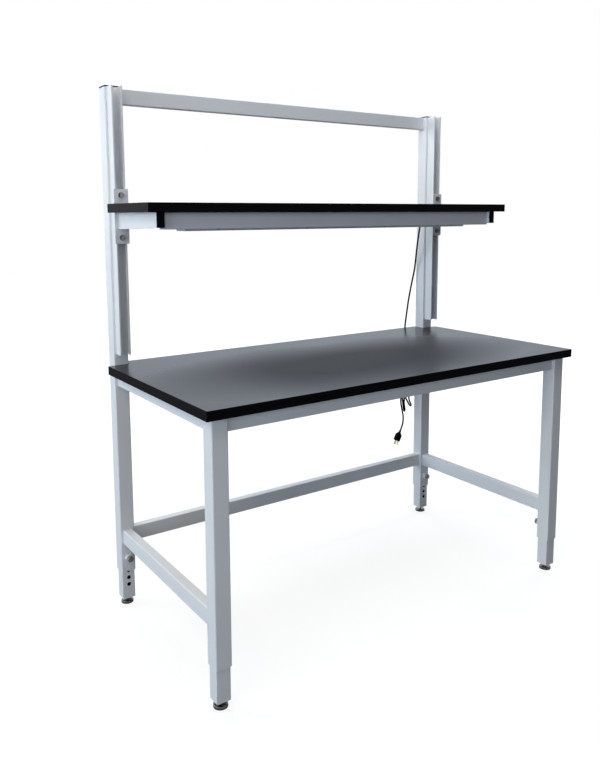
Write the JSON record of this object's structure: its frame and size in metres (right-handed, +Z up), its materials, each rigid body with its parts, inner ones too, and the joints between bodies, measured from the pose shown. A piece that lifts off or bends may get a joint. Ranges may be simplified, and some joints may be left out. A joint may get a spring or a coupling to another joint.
{
  "type": "lab bench with reagent shelf",
  "caption": "Steel-framed lab bench with black worktop, height-adjustable legs, rear uprights, a cantilevered reagent shelf on slotted channels and an under-shelf light with its cord.",
  "frame": {"origin": "on the floor under the middle of the bench", "axes": "+X to the user's right, +Y from the front edge to the back, +Z up"},
  "size_m": [1.524, 0.7947, 1.7825],
  "materials": {
    "white_coat": "satin powder coat",
    "board_laminate": "matt black laminate",
    "edge_band": "black plastic edge band",
    "black_plastic": "moulded, satin",
    "zinc_steel": "zinc plated",
    "dark_chrome": "polished plating",
    "light_paint": "white enamel",
    "light_end_plastic": "moulded",
    "opal_plastic": "opal acrylic",
    "light_board": "white solder mask",
    "driver_case": "moulded",
    "cord_rubber": "matt cord jacket",
    "blade_brass": "plain"
  },
  "bodies": {
    "frame": {"back_stretcher": "white_coat", "channel_left": "white_coat", "channel_right": "white_coat", "crossbar": "white_coat", "front_apron": "white_coat", "front_leg_left": "white_coat", "front_leg_right": "white_coat", "height_bolts": "zinc_steel", "height_nuts": "white_coat", "post_caps": "black_plastic", "rear_top_rail": "white_coat", "rear_upright_left": "white_coat", "rear_upright_right": "white_coat", "side_stretcher_left": "white_coat", "side_stretcher_right": "white_coat", "side_top_rail_left": "white_coat", "side_top_rail_right": "white_coat", "top_screws": "zinc_steel", "top_tabs": "white_coat", "worktop_board": "board_laminate", "worktop_edge_band": "edge_band"},
    "shelf": {"shelf_board": "board_laminate", "shelf_edge_band": "edge_band", "shelf_arm_left": "white_coat", "shelf_arm_right": "white_coat", "arm_caps": "black_plastic", "bracket_plate_left": "white_coat", "bracket_plate_right": "white_coat", "bracket_bolts": "zinc_steel", "bracket_washers": "zinc_steel", "channel_nuts": "zinc_steel", "shelf_front_rail": "white_coat", "shelf_screws": "zinc_steel", "light_housing": "light_paint", "light_diffuser": "opal_plastic", "light_end_caps": "light_end_plastic", "led_board": "light_board", "led_driver": "driver_case", "light_screws": "zinc_steel", "strain_relief": "black_plastic", "cord_clip": "black_plastic", "light_cord": "cord_rubber", "cord_hank": "cord_rubber", "hank_tie": "black_plastic", "cord_tail": "cord_rubber", "plug_body": "cord_rubber", "plug_prongs": "blade_brass"},
    "leg_front_left": {"inner_leg_front_left": "white_coat", "foot_insert_front_left": "zinc_steel"},
    "foot_front_left": {"glide_front_left": "dark_chrome"},
    "leg_front_right": {"inner_leg_front_right": "white_coat", "foot_insert_front_right": "zinc_steel"},
    "foot_front_right": {"glide_front_right": "dark_chrome"},
    "leg_rear_left": {"inner_leg_rear_left": "white_coat", "foot_insert_rear_left": "zinc_steel"},
    "foot_rear_left": {"glide_rear_left": "dark_chrome"},
    "leg_rear_right": {"inner_leg_rear_right": "white_coat", "foot_insert_rear_right": "zinc_steel"},
    "foot_rear_right": {"glide_rear_right": "dark_chrome"}
  },
  "joints": [
    {"name": "shelf_height", "type": "slide", "parent": "frame", "child": "shelf", "axis": [0, 0, 1], "range_m": [-0.22, 0.32]},
    {"name": "leg_front_left_height", "type": "slide", "parent": "frame", "child": "leg_front_left", "axis": [0, 0, 1], "range_m": [-0.0508, 0.1016]},
    {"name": "leg_front_right_height", "type": "slide", "parent": "frame", "child": "leg_front_right", "axis": [0, 0, 1], "range_m": [-0.0508, 0.1016]},
    {"name": "leg_rear_left_height", "type": "slide", "parent": "frame", "child": "leg_rear_left", "axis": [0, 0, 1], "range_m": [-0.0508, 0.1016]},
    {"name": "leg_rear_right_height", "type": "slide", "parent": "frame", "child": "leg_rear_right", "axis": [0, 0, 1], "range_m": [-0.0508, 0.1016]},
    {"name": "foot_front_left_level", "type": "slide", "parent": "leg_front_left", "child": "foot_front_left", "axis": [0, 0, 1], "range_m": [-0.0127, 0.005]},
    {"name": "foot_front_right_level", "type": "slide", "parent": "leg_front_right", "child": "foot_front_right", "axis": [0, 0, 1], "range_m": [-0.0127, 0.005]},
    {"name": "foot_rear_left_level", "type": "slide", "parent": "leg_rear_left", "child": "foot_rear_left", "axis": [0, 0, 1], "range_m": [-0.0127, 0.005]},
    {"name": "foot_rear_right_level", "type": "slide", "parent": "leg_rear_right", "child": "foot_rear_right", "axis": [0, 0, 1], "range_m": [-0.0127, 0.005]}
  ]
}
